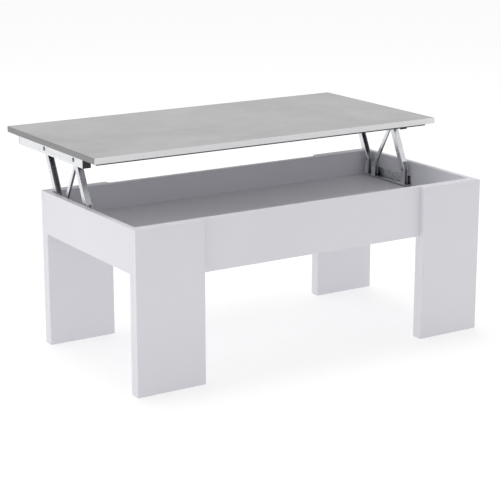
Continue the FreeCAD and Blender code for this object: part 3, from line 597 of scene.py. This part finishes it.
def turned(mesh, spot, into, rings, closed=False, tones=None):
    """Add one turned solid to a bmesh; rings are (depth, ring), tones one slot per band."""
    across = into.orthogonal().normalized()
    other = into.cross(across)
    rows = []
    for depth, ring in rings:
        row = []
        for i, radius in enumerate(ring):
            angle = 2 * math.pi * i / AROUND
            out = across * math.cos(angle) + other * math.sin(angle)
            row.append(mesh.verts.new(spot + into * depth + out * radius))
        rows.append(row)
    pairs = list(zip(rows, rows[1:] + rows[:1])) if closed else list(zip(rows, rows[1:]))
    for band, (first, second) in enumerate(pairs):
        for i in range(AROUND):
            j = (i + 1) % AROUND
            face = mesh.faces.new((first[i], first[j], second[j], second[i]))
            face.material_index = tones[band] if tones else 0
    if not closed:
        mesh.faces.new(rows[0][::-1])
        last = mesh.faces.new(rows[-1])
        last.material_index = tones[-1] if tones else 0


def stand_for(name, build, *materials):
    """Make one piece that replaces a node: same body, same slot, more detail."""
    mesh = bmesh.new()
    build(mesh)
    bmesh.ops.recalc_face_normals(mesh, faces=mesh.faces)
    for edge in mesh.edges:
        inner = len(edge.link_faces) == 2
        edge.smooth = inner and edge.calc_face_angle(0) < SMOOTH_BELOW
    for face in mesh.faces:
        face.smooth = True
    data = bpy.data.meshes.new(name + "_turned")
    mesh.to_mesh(data)
    mesh.free()
    piece = bpy.data.objects.new(name + "_turned", data)
    bpy.context.scene.collection.objects.link(piece)
    for material in materials or (finishes[slot_of[name]],):
        data.materials.append(material)
    # This piece takes the node's place to the eye, moves with its body and wears its slot.
    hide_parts(name)
    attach(piece, body_of[name])
    print(piece.name, "has", len(data.polygons), "faces and rides on", body_of[name])
    return piece


# %% [markdown]
# ## Screws with a cross recess
#
# Four nodes are wood screws: into the lid through the rails, into the end panels through
# the brackets, into the legs through the aprons, and into the aprons through the battens.
# Each has a low round head with a cross for the driver, a plain shank and a point. The
# rings run from the floor of the recess, over the crown, down the rim and along the shank.

# %% Screws
MM = 0.001
HEAD_RADIUS = 3.8 * MM
SHANK_RADIUS = 2.0 * MM


def screw_rings(head_high, reach):
    """Outline of a pan-headed wood screw."""
    r = HEAD_RADIUS
    return [(0.80 * head_high, cross_ring(0.40 * r)), (0.07 * head_high, cross_ring(0.58 * r)),
            (0.04 * head_high, round_ring(0.64 * r)), (0.20 * head_high, round_ring(0.84 * r)),
            (0.48 * head_high, round_ring(0.96 * r)), (0.80 * head_high, round_ring(r)),
            (head_high, round_ring(0.98 * r)), (head_high, round_ring(SHANK_RADIUS)),
            (reach - 3 * MM, round_ring(SHANK_RADIUS)), (reach, round_ring(0.3 * MM))]


def screws(name, axis, head_high):
    """Every screw of a node as one piece."""
    def build(mesh):
        for spot, into, reach in stands(name, axis):
            turned(mesh, spot, into, screw_rings(head_high, reach))
    return stand_for(name, build)


screws("rail_screws", "z", 1.5 * MM)
screws("bracket_screws", "x", 2.0 * MM)
screws("leg_screws", "y", 1.8 * MM)
screws("cleat_screws", "y", 1.8 * MM)

# %% [markdown]
# ## Pivot bolts and their lock nuts
#
# The four bolts that the lid hangs on show their heads on the outside of the rails, and
# are the most visible hardware of the table. Each head is a thin flange painted nearly black
# as painted shade, with a bright crowned button inside it and a hexagon socket whose walls
# are painted dark as shade too. The two tones are two materials on one mesh, picked band by
# band. The nuts inside are hexagons with both corners chamfered, and a raised collar that holds the
# plastic locking ring.

# %% Bolts and nuts
BOLT_HEAD = 5.3 * MM
PIN_RADIUS = 3.0 * MM


def bolt_heads(mesh):
    for spot, into, reach in stands("lid_pivot_bolts", "x"):
        rings = [(1.25 * MM, hex_ring(1.6 * MM)), (0.05 * MM, hex_ring(1.9 * MM)),
                 (0.0, round_ring(2.1 * MM)), (0.12 * MM, round_ring(2.9 * MM)),
                 (0.5 * MM, round_ring(3.3 * MM)), (1.15 * MM, round_ring(3.4 * MM)),
                 (1.15 * MM, round_ring(3.7 * MM)), (0.75 * MM, round_ring(3.9 * MM)),
                 (0.65 * MM, round_ring(4.8 * MM)), (0.9 * MM, round_ring(BOLT_HEAD)),
                 (1.55 * MM, round_ring(BOLT_HEAD)), (1.55 * MM, round_ring(PIN_RADIUS)),
                 (reach - 0.6 * MM, round_ring(PIN_RADIUS)), (reach, round_ring(2.5 * MM))]
        # Tone 1 is painted shade, nearly black on the socket walls and the flange; tone 0 is the
        # bright button and shank.
        turned(mesh, spot, into, rings, tones=[1, 0, 0, 0, 1, 1, 1, 1, 1, 1, 1, 0, 0])


def lock_nuts(mesh):
    for spot, into, reach in stands("lid_pivot_nuts", "x", face=1):
        rings = [(0.0, round_ring(3.1 * MM)), (0.0, round_ring(4.2 * MM)),
                 (0.25 * MM, round_ring(4.5 * MM)), (0.9 * MM, round_ring(4.6 * MM)),
                 (1.0 * MM, round_ring(4.95 * MM)), (1.35 * MM, hex_ring(5.8 * MM)),
                 (reach - 0.4 * MM, hex_ring(5.8 * MM)), (reach, round_ring(4.95 * MM)),
                 (reach, round_ring(3.1 * MM))]
        turned(mesh, spot, into, rings, closed=True)


stand_for("lid_pivot_bolts", bolt_heads, finishes["pivot_steel"], head_shade.material)
stand_for("lid_pivot_nuts", lock_nuts)

# %% [markdown]
# ## Rivets and pins of the base
#
# The lower pivots are riveted, because nobody has to take them apart. A rivet's head is a
# low dome with a small flat in the middle where the tool pressed it. The stays turn on a
# pin with such a head at both ends.

# %% Rivets and pins
RIVET_HEAD = 4.8 * MM
STAY_HEAD = 4.6 * MM
STAY_DOME = 1.2 * MM


def dome(radius, high, start=0.0, way=1):
    """Rings of a pressed dome; way is -1 for the dome at the far end."""
    rings = [(start, round_ring(0.30 * radius)),
             (start + way * 0.05 * high, round_ring(0.42 * radius)),
             (start + way * 0.22 * high, round_ring(0.72 * radius)),
             (start + way * 0.55 * high, round_ring(0.92 * radius)),
             (start + way * high, round_ring(radius))]
    return rings if way > 0 else rings[::-1]


def base_rivets(mesh):
    for spot, into, reach in stands("base_pivot_rivets", "x"):
        rings = dome(RIVET_HEAD, 0.8 * MM) + [(0.8 * MM, round_ring(PIN_RADIUS)),
                                              (reach - 0.3 * MM, round_ring(PIN_RADIUS)),
                                              (reach, round_ring(2.7 * MM))]
        turned(mesh, spot, into, rings)


def stay_pins(mesh):
    for spot, into, reach in stands("stay_base_pins", "x", face=1):
        rings = dome(STAY_HEAD, STAY_DOME) + [(STAY_DOME, round_ring(PIN_RADIUS)),
                                              (reach - STAY_DOME, round_ring(PIN_RADIUS))]
        turned(mesh, spot, into, rings + dome(STAY_HEAD, STAY_DOME, reach, -1))


stand_for("base_pivot_rivets", base_rivets)
stand_for("stay_base_pins", stay_pins)

# %% [markdown]
# ## Cam locks and glides
#
# A flat-packed base is pulled together by cam locks: discs let into the end panels, turned
# half round with a screwdriver. What shows inside the tray is the disc's face with a broad
# cross and a raised rim. The glides under the legs are nailed on, so each has a dimple in
# the middle, a chamfer that lets it slide, and a flat to stand on.

# %% Cam locks and glides
def cams(mesh):
    for points in solids("cam_locks"):
        low, high = min(p.x for p in points), max(p.x for p in points)
        inside = -1 if low > 0 else 1
        spot = Vector((low if low > 0 else high, sum(p.y for p in points) / len(points),
                       sum(p.z for p in points) / len(points)))
        reach = high - low
        rings = [(3.2 * MM, cross_ring(3.6 * MM)), (0.5 * MM, cross_ring(4.4 * MM)),
                 (0.5 * MM, round_ring(5.6 * MM)), (0.0, round_ring(6.0 * MM)),
                 (0.0, round_ring(6.8 * MM)), (0.4 * MM, round_ring(7.4 * MM)),
                 (reach, round_ring(7.4 * MM))]
        turned(mesh, spot, Vector((-inside, 0, 0)), rings)


def glides(mesh):
    for spot, into, reach in stands("leg_glides", "z", face=-1):
        rings = [(1.0 * MM, round_ring(1.2 * MM)), (0.9 * MM, round_ring(1.9 * MM)),
                 (0.0, round_ring(2.6 * MM)), (0.0, round_ring(7.4 * MM)),
                 (0.25 * MM, round_ring(8.3 * MM)), (1.0 * MM, round_ring(8.95 * MM)),
                 (reach, round_ring(9.0 * MM))]
        turned(mesh, spot, into, rings)


stand_for("cam_locks", cams)
stand_for("leg_glides", glides)
